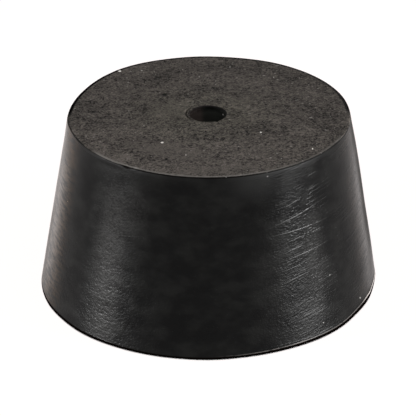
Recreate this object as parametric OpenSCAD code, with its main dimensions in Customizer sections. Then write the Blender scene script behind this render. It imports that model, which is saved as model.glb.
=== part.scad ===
// One-hole laboratory stopper, moulded in one piece from black rubber.
// It stands on its large end. The origin is at the middle of that end and +Z runs up the hole.

/* [Body] */
// Diameter of the large end
large_end_d = 46.5; // [42:0.1:60]
// Diameter of the small end, which goes into the neck first
small_end_d = 38.3; // [30:0.1:41]
// Length from end to end
body_length = 25; // [15:0.1:40]

/* [Hole] */
// Diameter of the hole that grips a tube or a thermometer
hole_d = 5; // [3:0.1:12]

/* [Edges] */
// Radius of the trimmed edge round the large end
large_edge_r = 0.4; // [0.1:0.05:2]
// Radius of the moulded edge round the small end
small_edge_r = 0.25; // [0.1:0.05:2]
// Radius of the lip at each end of the hole
hole_lip_r = 0.2; // [0.1:0.05:1]

/* [Hidden] */
$fn = 180;
rubber = [0.2, 0.195, 0.19];
// How far the circle of a rounding reaches past the sides it touches, so that it always joins them
join = 0.0001;

function unit(v) = v / norm(v);

// Rounds one corner of an outline, between the points before and after it, to radius r:
// [where the rounding starts, where it ends, the middle of its circle]
function rounded_corner(before, corner, after, r) =
    let (
        to_before = unit(before - corner),
        to_after = unit(after - corner),
        half_angle = acos(to_before * to_after) / 2,
        setback = r / tan(half_angle)
    )
    [
        corner + setback * to_before,
        corner + setback * to_after,
        corner + r / sin(half_angle) * unit(to_before + to_after)
    ];

// A convex outline, each corner rounded to the radius that radii gives for it
module rounded_outline(points, radii) {
    last = len(points) - 1;
    corners = [
        for (i = [0:last])
            rounded_corner(
                points[i == 0 ? last : i - 1],
                points[i],
                points[i == last ? 0 : i + 1],
                radii[i]
            )
    ];
    polygon([for (corner = corners) each [corner[0], corner[1]]]);
    for (i = [0:last])
        translate(corners[i][2]) circle(r = radii[i] + join);
}

// The section on one side of the axis, from the wall of the hole out to the tapered side
module half_section() {
    hole_x = hole_d / 2;
    large_x = large_end_d / 2;
    small_x = small_end_d / 2;
    rounded_outline(
        points = [[hole_x, 0], [large_x, 0], [small_x, body_length], [hole_x, body_length]],
        radii = [hole_lip_r, large_edge_r, small_edge_r, hole_lip_r]
    );
}

module stopper() {
    color(rubber) rotate_extrude() half_section();
}

stopper();
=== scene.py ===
from functools import partial
from math import atan2, cos, degrees, pi, radians, sin, tan

import bmesh
import bpy
from mathutils import Euler, Matrix, Vector


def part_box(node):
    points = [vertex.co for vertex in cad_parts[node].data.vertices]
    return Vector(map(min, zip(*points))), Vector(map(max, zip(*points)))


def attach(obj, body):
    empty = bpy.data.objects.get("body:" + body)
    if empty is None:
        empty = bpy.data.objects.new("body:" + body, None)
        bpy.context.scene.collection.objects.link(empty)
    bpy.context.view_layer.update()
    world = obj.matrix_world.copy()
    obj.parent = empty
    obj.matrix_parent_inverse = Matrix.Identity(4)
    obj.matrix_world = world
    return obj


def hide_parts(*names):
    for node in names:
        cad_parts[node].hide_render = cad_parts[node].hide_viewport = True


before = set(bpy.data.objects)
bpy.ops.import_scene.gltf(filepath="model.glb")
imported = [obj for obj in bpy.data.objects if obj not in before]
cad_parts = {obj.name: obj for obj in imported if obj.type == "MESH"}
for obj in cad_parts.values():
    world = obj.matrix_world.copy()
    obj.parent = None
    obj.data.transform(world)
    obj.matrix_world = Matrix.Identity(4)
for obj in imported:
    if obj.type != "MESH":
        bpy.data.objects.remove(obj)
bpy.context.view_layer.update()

# ---- The moulded block ----------------------------------------------------------------------
# One lump of black rubber, cured round a pin that leaves the hole and then ground to its taper.
# It is fixed to nothing and stands on its large end, with the origin in the middle of that end.
MM = 0.001
low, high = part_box("stopper")
body_length = high.z - low.z
middle = body_length / 2
large_end_r = 23.25 * MM
small_end_r = 19.15 * MM
hole_r = 2.5 * MM
collar_r = 4.2 * MM
taper = atan2(large_end_r - small_end_r, body_length)
segments = 400
large_edge_r = 0.4 * MM
small_edge_r = 0.25 * MM
hole_lip_r = 0.2 * MM
large_edge_steps = 8
small_edge_steps = 6
hole_lip_steps = 4
snug = 0.02 * MM


def radius(place):
    return Vector((place.x, place.y)).length


def select(piece, mode, wanted):
    """In edit mode, selects the points, edges or faces whose corners all lie where wanted says."""
    bpy.ops.mesh.select_mode(type=mode)
    bpy.ops.mesh.select_all(action="DESELECT")
    mesh = bmesh.from_edit_mesh(piece.data)
    if mode == "VERT":
        for vert in mesh.verts:
            vert.select_set(wanted([vert.co]))
    else:
        for part in mesh.edges if mode == "EDGE" else mesh.faces:
            part.select_set(wanted([vert.co for vert in part.verts]))
    mesh.select_flush_mode()
    bmesh.update_edit_mesh(piece.data)


def at_height(places, height):
    return all(abs(place.z - height) < snug for place in places)


def on_ring(places, ring_r, height):
    return at_height(places, height) and all(abs(radius(place) - ring_r) < snug for place in places)


bpy.ops.object.select_all(action="DESELECT")
bpy.ops.mesh.primitive_cone_add(
    vertices=segments,
    radius1=large_end_r,
    radius2=small_end_r,
    depth=body_length,
    end_fill_type="NGON",
    location=(0, 0, middle),
)
stopper = bpy.context.object
stopper.name = "stopper_body"
bpy.ops.object.transform_apply(location=True, rotation=True, scale=True)
bpy.ops.object.mode_set(mode="EDIT")

# Each end face is inset to a collar and then to the hole, and the two rings are joined up.
flat = cos(pi / segments)
for end_z, end_r in ((0, large_end_r), (body_length, small_end_r)):
    select(stopper, "FACE", lambda places: at_height(places, end_z))
    bpy.ops.mesh.inset(thickness=(end_r - collar_r) * flat)
    bpy.ops.mesh.inset(thickness=(collar_r - hole_r) * flat)
select(stopper, "FACE", lambda places: all(radius(place) < hole_r + hole_lip_r for place in places))
bpy.ops.mesh.bridge_edge_loops()


def round_edge(ring_r, height, edge_r, corner, steps):
    """Rounds the edge on a ring to a radius, where the two faces meet at a corner of so many radians."""
    select(stopper, "EDGE", lambda places: on_ring(places, ring_r, height))
    bpy.ops.mesh.bevel(offset=edge_r / tan(corner / 2), segments=steps, profile=0.5, affect="EDGES")


round_edge(large_end_r, 0, large_edge_r, pi / 2 - taper, large_edge_steps)
round_edge(small_end_r, body_length, small_edge_r, pi / 2 + taper, small_edge_steps)
round_edge(hole_r, 0, hole_lip_r, pi / 2, hole_lip_steps)
round_edge(hole_r, body_length, hole_lip_r, pi / 2, hole_lip_steps)

# The small end came off the grinder a little out of true with the large one. The pin in the mould
# leaned too, so that the hole comes out a little off the middle of the small end.
lean = Vector((0.45, 0.21, 0)) * MM
tilt = radians(0.63)
pin_lean = Vector((-0.2, 0.28, 0)) * MM
hole_top = lean + pin_lean
pin_reach = 2 * collar_r
select(stopper, "VERT", lambda places: places[0].z > middle)
bpy.ops.transform.rotate(value=-tilt, orient_axis="Y", center_override=(0, 0, body_length))
bpy.ops.transform.translate(value=lean)
select(stopper, "VERT", lambda places: places[0].z > middle and radius(places[0]) < pin_reach)
bpy.ops.transform.translate(value=pin_lean)

# The faces are cut up small enough to hold the dents, waves and ragged edges that follow.
fine_band = 1.2 * MM
for cut_z in (fine_band, body_length - fine_band):
    select(stopper, "FACE", lambda places: min(radius(place) for place in places) > small_end_r - MM)
    bpy.ops.mesh.bisect(plane_co=(0, 0, cut_z), plane_no=(0, 0, 1))


def cut_rings(cuts, rise, run, heights, inner_r=0):
    """Cuts up the strips of faces that cross all edges of some rise, run and heights outside a ring."""

    def wanted(places):
        edge_rise = abs(places[0].z - places[1].z)
        edge_run = abs(radius(places[0]) - radius(places[1]))
        return (
            rise[0] < edge_rise < rise[1]
            and run[0] <= edge_run < run[1]
            and all(radius(place) > inner_r and heights[0] < place.z < heights[1] for place in places)
        )

    select(stopper, "EDGE", wanted)
    bpy.ops.mesh.subdivide(number_cuts=cuts)


foot_cuts = 8
side_cuts = 46
rim_cuts = 6
wall_cuts = 14
large_end_cuts = (8, 2)
small_end_cuts = (40, 24)
over = body_length + MM
whole = (0, over)
lower_half = (0, middle)
upper_half = (middle, over)
underside = (-MM, MM)
upright = (0, MM)
level = (-MM, MM)
band_rise = (0.5 * MM, fine_band)
long_rise = (middle, over)
cut_rings(foot_cuts, band_rise, upright, lower_half, collar_r)
cut_rings(side_cuts, long_rise, (0, 10 * MM), whole, pin_reach)
cut_rings(rim_cuts, band_rise, upright, upper_half, collar_r)
cut_rings(wall_cuts, long_rise, upright, whole)
for heights, (face_cuts, collar_cuts) in ((underside, large_end_cuts), (upper_half, small_end_cuts)):
    cut_rings(face_cuts, level, (10 * MM, 20 * MM), heights)
    cut_rings(collar_cuts, level, (MM, 2 * MM), heights)
bpy.ops.object.mode_set(mode="OBJECT")

# Each point keeps how far in from the true rim it lay, in millimetres, for what follows the rim.
from_rim = stopper.data.attributes.new("from_rim", "FLOAT", "POINT")
for vert in stopper.data.vertices:
    from_rim.data[vert.index].value = (small_end_r - radius(vert.co - lean)) / MM
bpy.ops.object.mode_set(mode="EDIT")

# ---- The block's wear -----------------------------------------------------------------------
# The grinder's belt left the side not quite round, with a thin burr along the foot. The rim was
# trimmed by hand and is chipped, and the hole's lip tore where the pin was pulled out.
def around(angle, ring_r, height):
    """The place on the block at an angle from the front in degrees, counted towards +X."""
    return Vector((ring_r * sin(radians(angle)), -ring_r * cos(radians(angle)), height))


def angle_of(place):
    return degrees(atan2(place.x, -place.y))


def drag(move, reach):
    """Moves what is selected, and what lies round it less and less out to reach."""
    bpy.ops.transform.translate(
        value=move,
        use_proportional_edit=True,
        proportional_edit_falloff="SMOOTH",
        proportional_size=reach,
    )


def push(place, move, reach):
    """Drags the point of the surface that is nearest to a place."""
    mesh = bmesh.from_edit_mesh(stopper.data)
    nearest = min(mesh.verts, key=lambda vert: (vert.co - place).length).co.copy()
    select(stopper, "VERT", lambda places: (places[0] - nearest).length < 0.001 * MM)
    drag(move, reach)


# Dents and swellings, first round the rim, then on the side and round the foot.
up = Vector((0, 0, MM))
rim = partial(around, ring_r=small_end_r, height=body_length)
foot = partial(around, ring_r=large_end_r, height=large_edge_r)
side = partial(around, ring_r=(small_end_r + large_end_r) / 2, height=middle)
out = partial(around, ring_r=MM, height=0)
push(rim(-143), out(-143) * 0.08 + up * 0.13, 9 * MM)
push(rim(-108), out(-108) * -0.08 - up * 0.07, 8 * MM)
push(rim(168), up * -0.08, 7 * MM)
push(rim(-86), out(-86) * 0.1, 4 * MM)
push(rim(96), out(96) * -0.07, 5 * MM)
push(side(90) + up * 5, out(90) * 0.08, 8 * MM)
push(foot(76), out(76) * -0.16, 6 * MM)
push(foot(42), out(42) * 0.13, 8 * MM)
push(foot(-30), out(-30) * -0.07, 8 * MM)
push(foot(61), out(61) * -0.17, 5 * MM)
push(foot(86), out(86) * -0.13, 6 * MM)
push(foot(-60), out(-60) * -0.08, 5 * MM)
push(foot(0), out(0) * 0.1, 5 * MM)

# The chip in the rim.
chip_angle = -35
chip_reach = 0.35 * MM
push(rim(chip_angle), up * -0.06, chip_reach)

# The torn lip of the hole, in ridges one round the other, and the nick across from it.
tear_width = 0.05 * MM
tear_spread = 0.16 * MM
nick_angle = 29
nick_reach = 0.45 * MM
tears = ((-128, -50, 2.98, 0.15), (-118, -64, 2.62, 0.1), (-122, -57, 3.27, -0.05))
for first, last, tear_r, depth in tears:
    select(
        stopper,
        "VERT",
        lambda places: places[0].z > body_length - MM
        and abs(radius(places[0] - hole_top) - tear_r * MM) < tear_width
        and first < angle_of(places[0] - hole_top) < last,
    )
    drag(up * -depth, tear_spread)
nick_place = hole_top + around(nick_angle, hole_r + hole_lip_r, body_length)
push(nick_place, out(nick_angle) * 0.08 - up * 0.12, nick_reach)

# The burr, on a line in millimetres up the side that climbs a little to the right.
foot_line_middle = 0.45
foot_line_step = 0.08
foot_line_right = 0.0006
burr_wide = 0.16
burr_start = 8
burr_end = 88
burr_growth = 1.0045
burr_slack = 0.06 * MM
burr_reach = 0.3 * MM


def burr_height(place):
    return (foot_line_middle + foot_line_step + burr_wide / 2) * MM + foot_line_right * place.x**2 / MM


select(
    stopper,
    "VERT",
    lambda places: abs(places[0].z - burr_height(places[0])) < burr_slack
    and radius(places[0]) > small_end_r
    and burr_start < angle_of(places[0]) < burr_end,
)
bpy.ops.transform.resize(
    value=(burr_growth, burr_growth, 1),
    center_override=(0, 0, 0),
    use_proportional_edit=True,
    proportional_edit_falloff="SMOOTH",
    proportional_size=burr_reach,
)
bpy.ops.object.mode_set(mode="OBJECT")


def roughen(name, size, depth, weight):
    """Pushes the surface in and out in clouds of a size, by as much of depth as weight gives a place."""
    group = stopper.vertex_groups.new(name=name)
    for vert in stopper.data.vertices:
        share = weight(vert.co)
        if share > 0:
            group.add([vert.index], share, "REPLACE")
    texture = bpy.data.textures.new(name, "CLOUDS")
    texture.noise_scale = size
    texture.noise_depth = 2
    lumps = stopper.modifiers.new(name, "DISPLACE")
    lumps.texture = texture
    lumps.texture_coords = "LOCAL"
    lumps.vertex_group = name
    lumps.mid_level = 0.5
    lumps.strength = depth
    bpy.ops.object.modifier_apply(modifier=name)


# The side is wavy but for a millimetre at each end. The rim and the hole's lip are a little ragged.
wave_size = 11 * MM
wave_depth = 0.05 * MM
wave_fade = 3 * MM
rim_lump_size = 0.7 * MM
rim_lump_depth = 0.03 * MM
rim_lump_reach = 0.9 * MM
lip_lump_size = 0.4 * MM
lip_lump_depth = 0.2 * MM
lip_lump_reach = 0.8 * MM
lip_lump_share = 0.6


def near(distance, reach):
    return max(0, 1 - distance / reach)


def side_weight(place):
    inside = min(place.z, body_length - place.z) - MM
    return min(1, inside / wave_fade) if radius(place) > pin_reach and inside > 0 else 0


def rim_weight(place):
    rim_place = lean + around(angle_of(place - lean), small_end_r, body_length)
    return near((place - rim_place).length, rim_lump_reach)


def lip_weight(place):
    lip_place = hole_top + around(angle_of(place - hole_top), hole_r, body_length)
    return near((place - lip_place).length, lip_lump_reach) * lip_lump_share


bpy.ops.object.select_all(action="DESELECT")
stopper.select_set(True)
bpy.context.view_layer.objects.active = stopper
roughen("grinder_waves", wave_size, wave_depth, side_weight)
roughen("ragged_rim", rim_lump_size, rim_lump_depth, rim_weight)
roughen("ragged_lip", lip_lump_size, lip_lump_depth, lip_weight)
bpy.ops.object.shade_smooth()


# ---- The rubber's surface -------------------------------------------------------------------
# The side is ground rubber, scratched on a slant and a little shiny. Both ends keep the matt skin of the
# mould, mottled with talc and dust, and the hole is as black at its mouth as the pin left it. Light and shade
# are painted in on the side's bands, the foot, the rims, the hole's lip and down the hole.
class Field:
    """A value that changes over a surface: arithmetic on it adds Math nodes to its material."""

    def __init__(self, tree, socket=None):
        self.tree = tree
        self.socket = socket

    def node(self, kind, settings, inputs, output=0):
        """Adds a node: its settings first, then a value or a field on each of its sockets."""
        node = self.tree.nodes.new("ShaderNode" + kind)
        for name, setting in settings.items():
            setattr(node, name, setting)
        for name, given in inputs.items():
            if isinstance(given, Field):
                self.tree.links.new(given.socket, node.inputs[name])
            else:
                node.inputs[name].default_value = given
        return Field(self.tree, node.outputs[output] if node.outputs else None)

    def maths(self, operation, *terms):
        return self.node("Math", {"operation": operation}, dict(enumerate(terms)))

    def __add__(self, other):
        return self.maths("ADD", self, other)

    __radd__ = __add__

    def __sub__(self, other):
        return self.maths("SUBTRACT", self, other)

    def __rsub__(self, other):
        return self.maths("SUBTRACT", other, self)

    def __mul__(self, other):
        return self.maths("MULTIPLY", self, other)

    __rmul__ = __mul__

    def __or__(self, other):
        """The larger of two: where either mask is 1, so is this."""
        return self.maths("MAXIMUM", self, other)

    __ror__ = __or__

    def axis(self, name):
        """How far a place lies along X, Y or Z."""
        return self.node("SeparateXYZ", {}, {"Vector": self}, name)

    def between(self, start, end):
        """0 below start and 1 above end, or the other way round, with a soft step between."""
        limits = {"Value": self, "From Min": start, "From Max": end, "To Min": 0, "To Max": 1}
        if start > end:
            limits.update({"From Min": end, "From Max": start, "To Min": 1, "To Max": 0})
        return self.node("MapRange", {"interpolation_type": "SMOOTHSTEP"}, limits)

    def moved(self, where, turn, scale):
        """A place seen from where, turned and scaled: the middle of a pattern that is laid there."""
        mapping = {"Vector": self, "Location": where, "Rotation": turn, "Scale": scale}
        return self.node("Mapping", {"vector_type": "TEXTURE"}, mapping)

    def noise(self, size, detail=3, roughness=0.6, stretch=(1, 1, 1), turn=(0, 0, 0), start=0):
        """Cloudy noise on a place in millimetres: size is that of its clouds, stretched and turned."""
        local = self.moved((start, start, start), turn, tuple(size * share for share in stretch))
        look = {"Vector": local, "Scale": 1, "Detail": detail, "Roughness": roughness}
        return local.node("TexNoise", {"noise_dimensions": "3D"}, look)

    def spot(self, where, size, turn=(0, 0, 0), soft=1):
        """1 in an egg-shaped spot of a place, half-sizes and turn, with soft of it fading to 0."""
        local = self.moved(where, turn, size)
        return local.node("VectorMath", {"operation": "LENGTH"}, {0: local}, "Value").between(1, 1 - soft)

    def mix(self, plain, other):
        """A colour: plain where this field is 0, other where it is 1."""
        return self.node("Mix", {"data_type": "RGBA"}, {0: self, 6: plain, 7: other}, 2)


def new_surface(name):
    """A new material, with its place on the piece in millimetres."""
    material = bpy.data.materials.new(name)
    material.use_nodes = True
    material.node_tree.nodes.clear()
    start = Field(material.node_tree)
    where = start.node("TexCoord", {}, {}, "Object")
    in_mm = where.node("VectorMath", {"operation": "SCALE"}, {0: where, "Scale": 1 / MM})
    return material, in_mm


coat_roughness = 0.3
coat_ior = 1.2
# The black that shade is painted with.
painted_shade_colour = (0.001, 0.0007, 0.0006, 1)


def finish(place, colour, roughness, height, depth, gloss, polish=0, black=None):
    """Ends a material. Polish is a thin bright coat, and where black is 1 the surface is painted black as
    shade and nothing comes back at all.
    """
    bump = place.node("Bump", {}, {"Height": height, "Strength": 1, "Distance": depth})
    shader = place.node(
        "BsdfPrincipled",
        {},
        {
            "Base Color": colour,
            "Roughness": roughness,
            "Normal": bump,
            "Specular IOR Level": gloss,
            "Coat Weight": polish,
            "Coat Roughness": coat_roughness,
            "Coat IOR": coat_ior,
        },
    )
    if black is not None:
        painted_shade = place.node("BsdfDiffuse", {}, {"Color": painted_shade_colour})
        shader = place.node("MixShader", {}, {"Fac": black, 1: shader, 2: painted_shade})
    place.node("OutputMaterial", {}, {"Surface": shader})


def inside_rim(place):
    """How far in from the true rim the surface lies, in millimetres: the side lies below 0."""
    return place.node("Attribute", {"attribute_name": "from_rim"}, {}, "Fac")


# The side's grain. The belt cut it finely at the left, and coarsely at the right and the back.
side_bump = 0.1 * MM
blotch_size = 2.2
blotch_depth = 0.8
blotch_high_up = 0.3
blotch_coarse = 0.25
grain_size = 0.28
grain_left = 0.11
grain_right = 0.3
grain_low = 0.22
stroke_size = 0.17
stroke_stretch = (8, 8, 1)
stroke_left = 0.04
stroke_right = 0.16
scratch_size = 0.25
scratch_stretch = (30, 30, 1)
scratch_depth = 0.24
scratched_size = 4
dish_middle = 14
dish_growth = 0.0146
belt_slant = (0, radians(-8), 0)
ground_side, on_side = new_surface("ground_side")
across = on_side.axis("X")
along = on_side.axis("Y")
upwards = on_side.axis("Z")
to_right = across.between(-8, 8)
to_left = 1 - to_right
coarse = to_right | along.between(2, 10)
fine = 1 - coarse
low_down = upwards.between(16, 4)
high_up = upwards.between(18.5, 24.5)
blotches = on_side.noise(blotch_size, 2, 0.6, stretch=(1.5, 1.5, 1), start=3)
blotch_share = (blotch_high_up + low_down * (1 - blotch_high_up)) * (1 - coarse * (1 - blotch_coarse))
grain = on_side.noise(grain_size, 1, 0.6, stretch=(1.3, 1.3, 1), turn=belt_slant, start=11)
grain_depth = fine * (grain_left + low_down * grain_low) + coarse * (1 - high_up * 0.8) * grain_right
strokes = on_side.noise(stroke_size, 2, 0.6, stretch=stroke_stretch, turn=belt_slant)
stroke_depth = fine * stroke_left + coarse * stroke_right
scratches = on_side.noise(scratch_size, 0, 0.5, stretch=scratch_stretch, turn=belt_slant, start=70)
scratched = scratches.between(0.6, 0.72)
scratched = scratched * on_side.noise(scratched_size, 2, 0.6, start=25).between(0.42, 0.62)
dished = (upwards - dish_middle) * (upwards - dish_middle) * dish_growth

# The longest scratches, each where the belt's edge caught.
drawn_depth = 0.22
drawn_width = 0.24


def drawn_scratch(angle, share, length, slope):
    """1 along a scratch: its angle and share of the height up, its length in mm and its slope."""
    ring_r = large_end_r + (small_end_r - large_end_r) * share
    where = (around(angle, ring_r, body_length * share) + lean * share) / MM
    return on_side.spot(where, (length / 2, 3, drawn_width / 2), (0, -radians(slope), radians(angle)))


drawn = (
    drawn_scratch(36, 0.642, 13, -0.5) * 0.6
    + drawn_scratch(35, 0.722, 12, 10) * 0.65
    + drawn_scratch(42.5, 0.602, 3.4, 3) * 0.7
    + drawn_scratch(38, 0.505, 11, 4) * 0.6
    + drawn_scratch(30.5, 0.38, 5.6, 9) * 0.6
    + drawn_scratch(38, 0.172, 6.5, 10) * 0.5
    + drawn_scratch(33, 0.795, 3, 15) * 0.6
    + drawn_scratch(43, 0.84, 3, 5) * 0.4
    + drawn_scratch(34, 0.595, 4, 3) * 0.3
    + drawn_scratch(-33, 0.628, 8, 10) * 0.14
    + drawn_scratch(-38.5, 0.415, 3.4, 20) * 0.2
    + drawn_scratch(-35, 0.865, 4, 15) * 0.1
)
side_relief = grain * grain_depth + strokes * stroke_depth + blotches * blotch_share * blotch_depth + dished
side_relief = side_relief + scratched * coarse * scratch_depth + drawn * drawn_depth

# The side's colour: grey where it is blotched, scuffed or dusty, painted lighter as a highlight down the two
# bright bands, with a few pale crumbs.
side_dark = (0.0016, 0.0016, 0.0016, 1)
greyed = (0.0036, 0.0036, 0.0034, 1)
scuffed = (0.046, 0.046, 0.045, 1)
rim_dust = (0.0075, 0.0075, 0.0073, 1)
painted_band_sheen_colour = (0.014, 0.0135, 0.013, 1)
crumb_colour = (0.3, 0.29, 0.28, 1)


def side_patch(angle, ring_r, height, size, soft=1):
    """1 on a patch of the side, in millimetres: its place, then half its width, depth and height."""
    return on_side.spot(around(angle, ring_r, height), size, (0, 0, radians(angle)), soft)


dusty = across.between(1, 6) * across.between(10, 7) + across.between(-5, -9) * across.between(-18, -14) * 0.3
# Painted highlight: lighter patches down the two bright bands of the side.
painted_band_sheen = (
    side_patch(-39.5, 21.5, 11, (3.6, 8, 20), 0.9) * 0.95
    + side_patch(-31, 20, 20, (4, 6, 8), 0.9) * 0.45
    + side_patch(41, 22, 13, (3.5, 4, 13)) * 0.68
    + side_patch(23, 22, 11, (4, 6, 9)) * 0.25
)
crumbs = (
    on_side.spot(around(47.5, 21.9, 8.1), (0.22, 0.22, 0.14), soft=0.6) * 0.3
    + on_side.spot(around(41.5, 22.85, 2.15), (0.25, 0.25, 0.14), soft=0.6)
    + on_side.spot(around(64, 22.85, 1.9), (0.3, 0.3, 0.16), soft=0.8) * 0.5
    + on_side.spot(around(24.2, 19.35, 24.35), (0.2, 0.3, 0.14), soft=0.7) * 0.3
)
side_colour = blotches.between(0.35, 0.75).mix(side_dark, greyed)
side_colour = (drawn * (grain * 2 - 0.3)).mix(side_colour, scuffed)
side_colour = (dusty * upwards.between(20, 24.5)).mix(side_colour, rim_dust)
side_colour = (painted_band_sheen * upwards.between(25.5, 20) * (grain * 2.2 - 0.45)).mix(side_colour, painted_band_sheen_colour)
side_colour = crumbs.mix(side_colour, crumb_colour)

# The foot line, in millimetres up: below it the edge is painted black as the shade where it meets the floor,
# and on it runs the burr, painted pale as its highlight.
foot_line_left = 0.0005
foot_line_end = 0.14
burr_soft = 0.06
burr_and_highlight_colour = (0.24, 0.22, 0.208, 1)
foot_line = foot_line_middle + across * across * (to_left * foot_line_left + to_right * foot_line_right)
foot_line = foot_line + to_right * foot_line_step + across.between(17, 22) * foot_line_end
below_foot_line = (upwards - foot_line).between(burr_soft, -0.02)
# The burr's pale colour is a painted highlight, brightest towards the right end.
burr_and_highlight = (upwards - foot_line).between(burr_wide, burr_wide - burr_soft)
burr_and_highlight = burr_and_highlight * on_side.noise(0.6, 1, start=90).between(0.1, 0.5)
burr_highlight_patch = side_patch(31, 23.1, 0.8, (2, 2, 0.3))
burr_and_highlight = burr_and_highlight * (across.between(0, 8) * (0.2 + across.between(20.5, 22) * 0.8) + burr_highlight_patch * 0.3)
side_colour = burr_and_highlight.mix(side_colour, burr_and_highlight_colour)

# The side's gloss: a polish that shows where it is seen at a slant, brushed along the belt's run, and a brown
# sheen painted into the colour there. At the front and the back it is dull even there, and painted dark over
# the glare.
side_gloss = 0.05
rough_top = 0.2
rough_foot = 0.31
rough_cloud = 0.2
rough_edge = 0.25
rough_rim = 0.16
polish_left = 0.82
polish_right = 0.55
brush_size = 0.32
brush_stretch = (7, 7, 1)
brown_sheen = (0.018, 0.0115, 0.007, 1)
edge_on = on_side.node("LayerWeight", {}, {"Blend": 0.5}, "Facing")
shine_left = to_left * edge_on.between(0.9, 0.78) * polish_left
shine_right = to_right * edge_on.between(0.86, 0.74) * polish_right
brushed = on_side.noise(brush_size, 2, 0.65, stretch=brush_stretch, turn=belt_slant, start=40)
brushed = brushed.between(0.36, 0.64)
side_colour = (edge_on.between(0.52, 0.72) * brushed * (0.2 + to_left * 0.8)).mix(side_colour, brown_sheen)
# Where these are 1 the gloss is dulled and shade is painted over the glare.
dull_front = edge_on.between(0.45, 0.66) * along.between(-11, -14)
dull_back = edge_on.between(0.25, 0.6) * along.between(3, 9)
dulled_and_shaded = dull_front + dull_back
polish = edge_on.between(0.58, 0.76) * (shine_left + shine_right)
polish = polish * upwards.between(24, 15) * upwards.between(-1, 7)
polish = polish * (0.7 + brushed * 0.6) * (1 - dulled_and_shaded)
side_rim = inside_rim(on_side)
side_rough = rough_foot + upwards * ((rough_top - rough_foot) * MM / body_length)
side_rough = side_rough + (blotches - 0.5) * rough_cloud + high_up * coarse * 0.05
side_rough = side_rough + edge_on.between(0.76, 0.88) * to_right * upwards.between(2, 10) * rough_edge
side_rough = side_rough + dulled_and_shaded * 0.25
side_rough = side_rough + side_rim.between(-0.14, -0.04) * edge_on.between(0.66, 0.5) * rough_rim

# Painted shade, black with no gloss: the sharp rim except at the front right, the chip in it, below the foot
# line, and over the glare at a slant. A patch beside the chip is painted black too.
on_rim = side_rim.between(-0.03, 0.02)
right_rim = across.between(12, 5) * (0.65 + across.between(-19, -14) * 0.35)
shaded_rim = on_rim * (along.between(-1.5, 2) | right_rim)
chip_place = (rim(chip_angle) + lean) / MM
chip = on_side.spot(chip_place, (1.5, 0.5, 0.42), (0, 0, radians(chip_angle)), 0.8) * 0.95
black_patch_angle = -40
black_patch_place = (around(black_patch_angle, 19.2 * MM, 24.8 * MM) + lean) / MM
black_patch = on_side.spot(black_patch_place, (5, 2, 0.7), (0, 0, radians(black_patch_angle)), 0.8) * 0.62
side_black = below_foot_line | shaded_rim | chip | black_patch | dulled_and_shaded * 0.8
finish(on_side, side_colour, side_rough, side_relief, side_bump, side_gloss, polish, side_black)

# The ends: the mould's skin, clouded, gritty and rasped, with fine cracks, pits and pale smooth patches.
end_bump = 0.16 * MM
end_gloss = 0.061
end_roughness = 0.8
end_tone = 0.492
cloud_size = 4
cloud_strength = 1.05
mottle_size = 1
mottle_strength = 1.3
grit_size = 0.3
grit_strength = 2.65
rasp_size = 0.3
rasp_strength = 0.7
rasp_turn = (0, 0, radians(50))
crack_size = 1.3
crack_strength = 0.35
pit_size = 0.36
pit_strength = 0.4
nick_strength = 0.6
light_strength = 0.12
dark_strength = 0.14
moulded_end, on_end = new_surface("moulded_end")
end_across = on_end.axis("X")
end_along = on_end.axis("Y")
to_back = end_along.between(-1.5, 2)


def patch(where, wide, deep, turned=0, soft=0.5):
    """1 on a patch of the end face, at a place in millimetres from its middle, fading to 0 at its edge."""
    true_place = (where[0] + lean.x / MM, where[1] + lean.y / MM, 0)
    return on_end.spot(true_place, (wide, deep, 1000), (0, 0, radians(turned)), soft)


clouds = on_end.noise(cloud_size, 3, 0.6, start=5)
mottle = on_end.noise(mottle_size, 3, 0.7, start=9)
grit = on_end.noise(grit_size, 3, 0.75, start=17)
rasp = on_end.noise(rasp_size, 2, 0.6, stretch=(3, 1, 1), turn=rasp_turn, start=33)
crack_clouds = on_end.noise(crack_size, 2, 0.5, start=51)
crack_lines = on_end.maths("ABSOLUTE", crack_clouds - 0.5).between(0.02, 0.006)
cracks = crack_lines * on_end.noise(1.6, 1, 0.5, start=60).between(0.5, 0.6)
pits = on_end.noise(pit_size, 0, 0.5, start=44).between(0.68, 0.76)
light_patches = (
    patch((-5, 1.5), 4, 3.5) * 0.7
    + patch((5, 4.5), 3, 1.6, 35) * 0.6
    + patch((-6, -11), 8, 2.5, -25) * 0.8
    + patch((2, -16.5), 9, 1.8, 5) * 0.6
)
dark_patches = (
    patch((15, 0), 3.5, 6) * 0.5
    + patch((-17, 0), 2.5, 6) * 0.6
    + patch((12, 12.5), 3, 2) * 0.6
    + patch((1.5, 10), 1.6, 4.5) * 0.5
    + patch((-7, 12), 2.8, 2.2) * 0.5
    + patch((-6, 6.3), 1.4, 1) * 0.9
    + patch((6, -15), 2.5, 1.5) * 0.4
    + patch((2, -7), 3, 2) * 0.4
)
nicks = (
    patch((-6.1, 6.3), 0.36, 0.5, 20)
    + patch((-5.8, -13.6), 0.26, 0.36)
    + patch((-5.7, 5.6), 0.3, 0.3) * 0.5
    + patch(chip_place - lean / MM, 1.1, 0.6, chip_angle, 0.9) * 0.7
)
scored = patch((9.3, -4), 2.2, 0.16, 38)
worn_middle = patch((-1, 0), 14, 12, 0, 0.8)
smooth = on_end.maths("MINIMUM", light_patches, 1) * 0.65
end_rim = inside_rim(on_end)
along_rim = end_rim.between(0.35, 0.6) * end_rim.between(2.4, 0.8)
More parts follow.
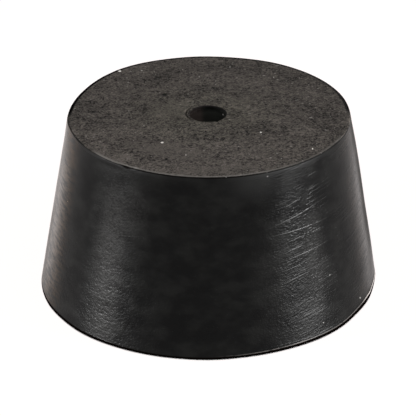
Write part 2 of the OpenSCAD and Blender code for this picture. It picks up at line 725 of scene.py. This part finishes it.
# Darker in a band just inside the rim at the front right.
darker_inside_rim = along_rim * end_across.between(5, 9) * end_along.between(-4, -7)
marks = (mottle - 0.5) * mottle_strength + (grit - 0.5) * grit_strength
marks = marks + (rasp - 0.5) * rasp_strength + (clouds - 0.5) * cloud_strength
marks = marks * (1.12 - end_along.between(-14, 12) * 0.32) + end_along.between(-4, -16) * 0.13
tone = end_tone + marks * (1 - smooth) + light_patches * light_strength - dark_patches * dark_strength
tone = tone - cracks * crack_strength - pits * pit_strength - nicks * nick_strength
tone = tone + scored * 0.2 - darker_inside_rim * 0.12 + worn_middle * 0.03
end_relief = mottle * (1 - smooth) + grit * 0.7 + rasp * 0.5
end_relief = end_relief - cracks * 0.5 - pits * 0.5 - nicks + scored * 0.3
end_dark = (0.004, 0.0035, 0.003, 1)
end_pale = (0.119, 0.1045, 0.0932, 1)
end_pale_middle = (0.119, 0.1075, 0.0905, 1)
end_colour = tone.mix(end_dark, worn_middle.mix(end_pale, end_pale_middle))

# The rim of the end: a painted highlight along the front, painted grey and black shade round the back, and a
# painted dark line along the very edge in front.
rim_shade = (0.004, 0.0035, 0.003, 1)
rim_highlight = (0.125, 0.116, 0.107, 1)
rim_soft = 0.08
rim_band = 0.38 + to_back * 0.1 + (grit - 0.5) * 0.15
rim_light_and_shade = (end_rim - rim_band).between(rim_soft, -0.02)
at_front = end_along.between(-5.5, -8) * end_across.between(-16, -14) * (1 - end_across.between(6, 14) * 0.3)
end_colour = (rim_light_and_shade * (to_back | at_front)).mix(end_colour, at_front.mix(rim_shade, rim_highlight))
# A painted dark line along the very edge of the rim in front.
left_rim = end_across.between(-17, -15.5) * end_across.between(-11, -12) * 0.75
rim_line = end_rim.between(0.18, 0.1) * (1 - to_back) * end_across.between(18.5, 17) * (1 - left_rim)
end_colour = rim_line.mix(end_colour, rim_shade)
# The back of the rim is painted black as shade.
from_far_rim = end_rim - rim_band + 0.1 + end_across.between(10, 16) * 0.2
far_rim = to_back * from_far_rim.between(rim_soft, -0.02) * 0.9

# The tear beside the hole, the hole's lip painted dark as shade in front and behind, and the specks of white
# dust on the end.
torn_and_shaded_lip_colour = (0.005, 0.004, 0.0045, 1)
white_dust = (0.75, 0.72, 0.68, 1)
dust_size = 0.35
dust_strength = 0.2
hole_x = pin_lean.x / MM
hole_y = pin_lean.y / MM
torn = patch((hole_x - 0.5, hole_y), 2.8, 2.2, 0, 0.15) * on_end.noise(0.3, 1, start=21).between(0.58, 0.5)
torn_lip = patch((hole_x, hole_y), 2.64, 2.64, 0, 0.03) * end_across.between(-2.2, -1.7)
# Painted shade on the lip of the hole, in front and behind.
shaded_lip = patch((hole_x, hole_y), 2.52, 2.72, 0, 0.04) * 0.85
end_colour = (torn | torn_lip | shaded_lip).mix(end_colour, torn_and_shaded_lip_colour)
specks = (
    patch((-12.35, 13.9), 0.26, 0.3, 0, 0.4)
    + patch((-6.35, -8.6), 0.24, 0.28, 0, 0.4)
    + patch((6.85, -5.7), 0.17, 0.26, 0, 0.5)
    + patch((13.6, -10.8), 0.12, 0.3, 0, 0.5)
    + patch((-9.3, 14.1), 0.16, 0.2, 0, 0.7) * 0.5
    + patch((3, 15.4), 0.15, 0.2, 0, 0.7) * 0.5
    + patch((-1.3, 12.1), 0.13, 0.2, 0, 0.8) * 0.4
    + patch((9, 11.8), 0.12, 0.2, 0, 0.8) * 0.5
    + patch((-3.2, -12.4), 0.13, 0.2, 0, 0.8) * 0.6
    + patch((-9.7, -16.15), 0.6, 0.3, -31, 0.8) * 0.12
)
fine_dust = on_end.noise(dust_size, 0, 0.5, start=80).between(0.79, 0.84)
end_colour = (specks + fine_dust * dust_strength).mix(end_colour, white_dust)
finish(on_end, end_colour, end_roughness, end_relief, end_bump, end_gloss, black=far_rim)

# The hole: black at the mouth, painted paler further down as light, and browner at the left and lighter there
# as painted light, with one small white spot.
hole_bump = 0.05 * MM
hole_gloss = 0.03
hole_roughness = 0.7
hole_deep_lightened = (0.036, 0.037, 0.033, 1)
hole_deep_brown_lightened = (0.082, 0.066, 0.059, 1)
hole_mouth = (0.0035, 0.0035, 0.003, 1)
hole_mouth_brown_lit = (0.0065, 0.005, 0.0045, 1)
hole_wall, in_hole = new_surface("hole_wall")
bark = in_hole.noise(0.4, 3, 0.6, stretch=(3, 3, 1))
brown_lit_side = in_hole.axis("X").between(-0.1, -0.9)
# Painted light: the wall is paler further down, where the lamps hardly reach.
deep_painted_light = in_hole.axis("Z").between(24.75, 23.9) * (0.6 + bark * 0.8)
mouth_colour = brown_lit_side.mix(hole_mouth, hole_mouth_brown_lit)
hole_colour = deep_painted_light.mix(mouth_colour, brown_lit_side.mix(hole_deep_lightened, hole_deep_brown_lightened))
# A small white spot on the right of the wall.
hole_white_spot = in_hole.spot(hole_top / MM + Vector((2.08, 1.42, 24.13)), (0.14, 0.14, 0.14), soft=0.5)
hole_colour = hole_white_spot.mix(hole_colour, white_dust)
finish(in_hole, hole_colour, hole_roughness, bark, hole_bump, hole_gloss)

# Each face takes the side's surface unless it lies in the hole, or is level or near the middle.
for surface in (ground_side, moulded_end, hole_wall):
    stopper.data.materials.append(surface)
end_slot = 1
hole_slot = 2
wall_slack = 0.05 * MM
mouth_depth = 0.1 * MM
for face in stopper.data.polygons:
    hole_axis = hole_top * (face.center.z / body_length)
    on_wall = radius(face.center - hole_axis) < hole_r + wall_slack
    if on_wall and 0 < face.center.z < body_length - mouth_depth:
        face.material_index = hole_slot
    elif abs(face.normal.z) > 0.8 or radius(face.center) < pin_reach:
        face.material_index = end_slot

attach(stopper, "root")
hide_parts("stopper")

# ---- The floor ------------------------------------------------------------------------------
# A wide sheet of white paper, flat on the bench. It takes the stopper's shadow close round the
# foot and is plain white further off.
floor_size = 3
contact_reach = 0.15 * MM
floor_grey = (0.8, 0.8, 0.8, 1)
floor_white = (1, 0.945, 0.935, 1)
floor_glow = 1.095
floor_share = 0.92
bpy.ops.mesh.primitive_plane_add(size=floor_size, location=(0, 0, 0))
floor = bpy.context.object
floor.name = "floor"
paper, on_paper = new_surface("white_paper")


def seen_white(start):
    """1 for what the camera sees, straight or through gloss or glass, and 0 for what lights the object."""
    ray = start.node("LightPath", {}, {}, "Is Camera Ray")
    outputs = ray.socket.node.outputs
    gloss = Field(start.tree, outputs["Is Glossy Ray"])
    glass = Field(start.tree, outputs["Is Transmission Ray"])
    return ray | gloss | glass


open_to_light = on_paper.node("AmbientOcclusion", {"samples": 8}, {"Distance": contact_reach}, "AO")
clear_of_foot = open_to_light.between(0.2, 0.8)
lit_paper = on_paper.node("BsdfDiffuse", {}, {"Color": floor_grey})
white_paper = on_paper.node("Emission", {}, {"Color": floor_white, "Strength": floor_glow})
whiteness = seen_white(on_paper) * clear_of_foot * floor_share
paper_look = on_paper.node("MixShader", {}, {"Fac": whiteness, 1: lit_paper, 2: white_paper})
on_paper.node("OutputMaterial", {}, {"Surface": paper_look})
floor.data.materials.append(paper)

# ---- The light ------------------------------------------------------------------------------
# An even white room, two strips on low stands at the left and the right, and a wide softbox on a
# boom overhead. The strips draw the two bright bands down the side.
sky_strength = 0.3
strip_rise = radians(3.9)
strip_distance = 0.4
strip_height = 0.08
left_angle = radians(-73)
left_width = 0.15
left_power = 4.6
right_angle = radians(66)
right_width = 0.2
right_power = 5.2
overhead_angle = radians(20)
overhead_rise = radians(75)
overhead_distance = 0.8
overhead_size = 0.6
overhead_power = 1.9
world = bpy.data.worlds.new("studio")
bpy.context.scene.world = world
world.use_nodes = True
world.node_tree.nodes.clear()
room = Field(world.node_tree)
sky = room.node("Background", {}, {"Color": (1, 1, 1, 1), "Strength": sky_strength})
backdrop = room.node("Background", {}, {"Color": (1, 1, 1, 1), "Strength": 1})
room_look = room.node("MixShader", {}, {"Fac": seen_white(room), 1: sky, 2: backdrop})
room.node("OutputWorld", {}, {"Surface": room_look})


def softbox(name, angle, lift, distance, width, height, power):
    """A softbox at an angle from the front, counted towards +X, facing the middle of the stopper."""
    away = Vector((sin(angle) * cos(lift), -cos(angle) * cos(lift), sin(lift)))
    lamp = bpy.data.lights.new(name, "AREA")
    lamp.shape = "RECTANGLE"
    lamp.size = width
    lamp.size_y = height
    lamp.energy = power
    holder = bpy.data.objects.new(name, lamp)
    holder.location = Vector((0, 0, middle)) + away * distance
    holder.rotation_euler = away.to_track_quat("Z", "Y").to_euler()
    bpy.context.scene.collection.objects.link(holder)


softbox("left_strip", left_angle, strip_rise, strip_distance, left_width, strip_height, left_power)
softbox("right_strip", right_angle, strip_rise, strip_distance, right_width, strip_height, right_power)
softbox(
    "overhead", overhead_angle, overhead_rise, overhead_distance, overhead_size, overhead_size, overhead_power
)

# ---- The camera -----------------------------------------------------------------------------
# It stands in front of the stopper and looks down on it through a long lens. The picture is
# square, and the lens is given by how many of its pixels one unit of slope covers.
camera_place = Vector((0, -409.0, 220.2)) * MM
camera_pitch = radians(27.104)
camera_yaw = radians(0.008)
camera_roll = radians(-0.959)
focal_pixels = 3347
image_width = 416
lens = bpy.data.cameras.new("camera")
lens.sensor_width = 36
lens.lens = focal_pixels / image_width * lens.sensor_width
lens.clip_start = 10 * MM
lens.clip_end = 10
camera = bpy.data.objects.new("camera", lens)
aim = Euler((pi / 2 - camera_pitch, 0, -camera_yaw)).to_matrix() @ Matrix.Rotation(camera_roll, 3, "Z")
camera.location = camera_place
camera.rotation_euler = aim.to_euler()
bpy.context.scene.collection.objects.link(camera)
bpy.context.scene.camera = camera

bpy.context.scene.view_settings.view_transform = "Standard"
